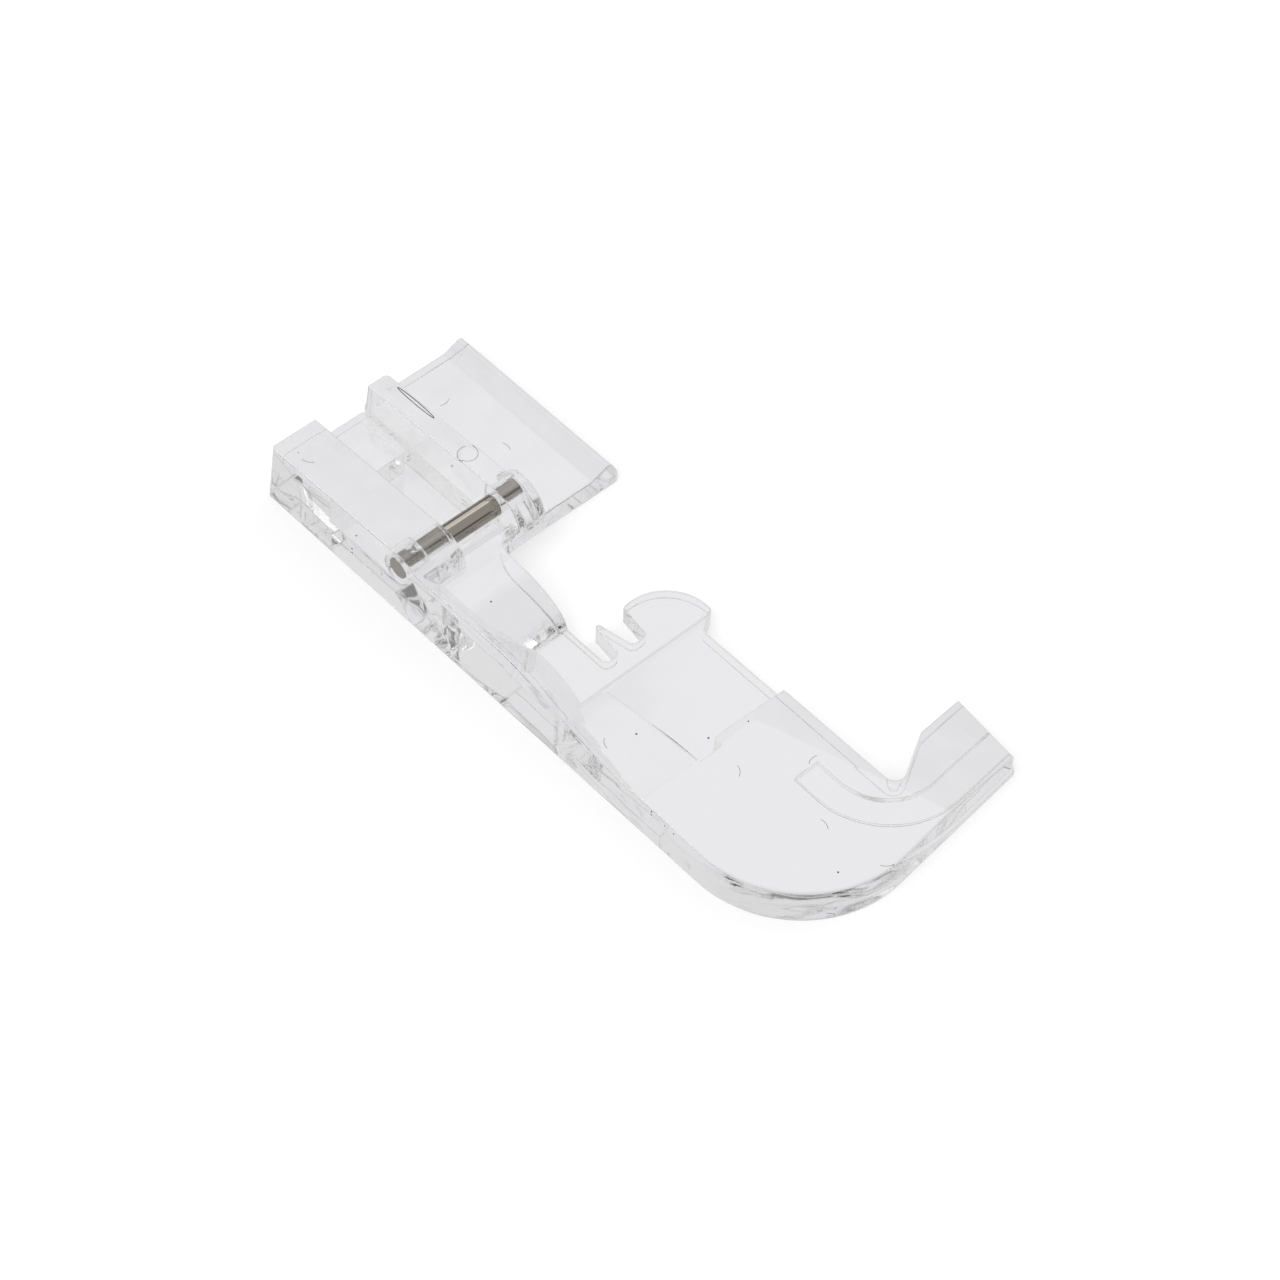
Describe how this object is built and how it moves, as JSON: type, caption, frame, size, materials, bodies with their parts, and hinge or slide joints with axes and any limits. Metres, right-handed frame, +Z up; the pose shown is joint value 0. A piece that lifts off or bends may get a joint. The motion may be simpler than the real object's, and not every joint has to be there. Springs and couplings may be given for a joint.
{
  "type": "sewing machine presser foot",
  "caption": "Clear J-shaped overlock presser foot with needle notches beside a stitch finger, a side wing, a hooked toe and a cross pin for the ankle of the machine.",
  "frame": {"origin": "middle of the outer box, on the flat sole", "axes": "+Y along the foot towards its heel, +X towards the hook and the wing, +Z up from the sole"},
  "size_m": [0.0267, 0.0634, 0.0073],
  "materials": {
    "clear_plastic": "gloss, clear moulding",
    "steel": "ground dowel"
  },
  "bodies": {
    "root": {"clear_foot": "clear_plastic", "ankle_pin": "steel"}
  },
  "joints": []
}
